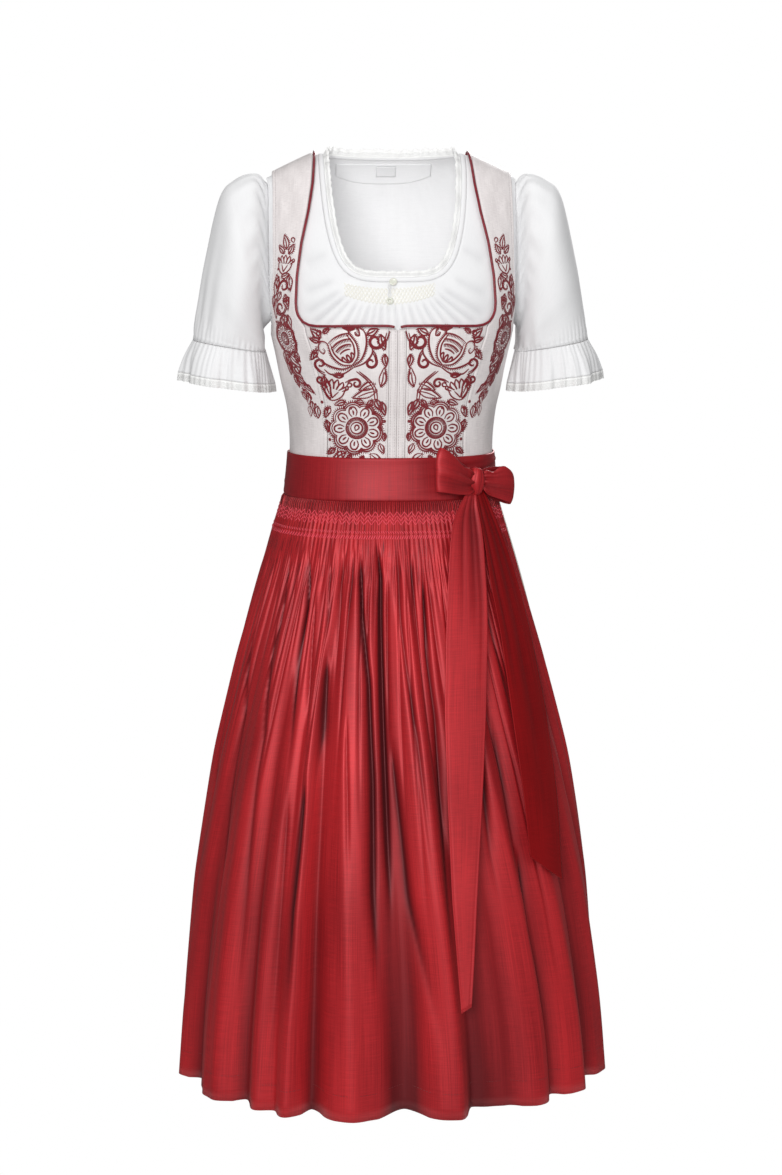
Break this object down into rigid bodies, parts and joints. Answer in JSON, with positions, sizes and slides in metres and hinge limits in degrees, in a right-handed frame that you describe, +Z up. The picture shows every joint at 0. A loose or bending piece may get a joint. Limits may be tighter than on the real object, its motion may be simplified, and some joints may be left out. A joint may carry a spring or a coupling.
{
  "type": "dirndl dress with blouse and tied apron",
  "caption": "Worn dirndl with no wearer: puff-sleeved blouse, embroidered bodice, gathered skirt and a tied apron.",
  "frame": {"origin": "midway between the two shoulder seams, level with the top of the shoulders", "axes": "+Z up along the dress, -Y out of the front, +X to the wearer's left"},
  "size_m": [0.5087, 0.4279, 1.0926],
  "materials": {
    "bodice_weave": "slubbed weave with a silvery sheen",
    "blouse_cotton": "fine matt cotton",
    "lace": "narrow cotton lace",
    "piping": "satin piping",
    "apron_taffeta": "taffeta with a soft sheen",
    "skirt_weave": "fine matt weave",
    "button_shell": "mother of pearl",
    "label_satin": "bare satin tape"
  },
  "bodies": {
    "root": {"blouse_front": "blouse_cotton", "blouse_back": "blouse_cotton", "neck_binding": "blouse_cotton", "neck_lace": "lace", "back_neck_facing": "blouse_cotton", "neck_label": "label_satin", "sleeve_left": "blouse_cotton", "sleeve_right": "blouse_cotton", "sleeve_frill_left": "blouse_cotton", "sleeve_frill_right": "blouse_cotton", "cuff_lace_left": "lace", "cuff_lace_right": "lace", "button_top": "button_shell", "button_lower": "button_shell", "front_placket_left": "bodice_weave", "front_placket_right": "bodice_weave", "front_centre_left": "bodice_weave", "front_centre_right": "bodice_weave", "front_side_left": "bodice_weave", "front_side_right": "bodice_weave", "back_side_left": "bodice_weave", "back_side_right": "bodice_weave", "back_centre": "bodice_weave", "piping_left": "piping", "piping_right": "piping", "piping_back": "piping", "skirt_front": "skirt_weave", "skirt_back": "skirt_weave", "apron_panel": "apron_taffeta", "apron_waistband": "apron_taffeta", "apron_tie_back": "apron_taffeta", "bow_knot": "apron_taffeta", "bow_loop_left": "apron_taffeta", "bow_loop_right": "apron_taffeta", "bow_tail_long": "apron_taffeta", "bow_tail_short": "apron_taffeta"}
  },
  "joints": []
}
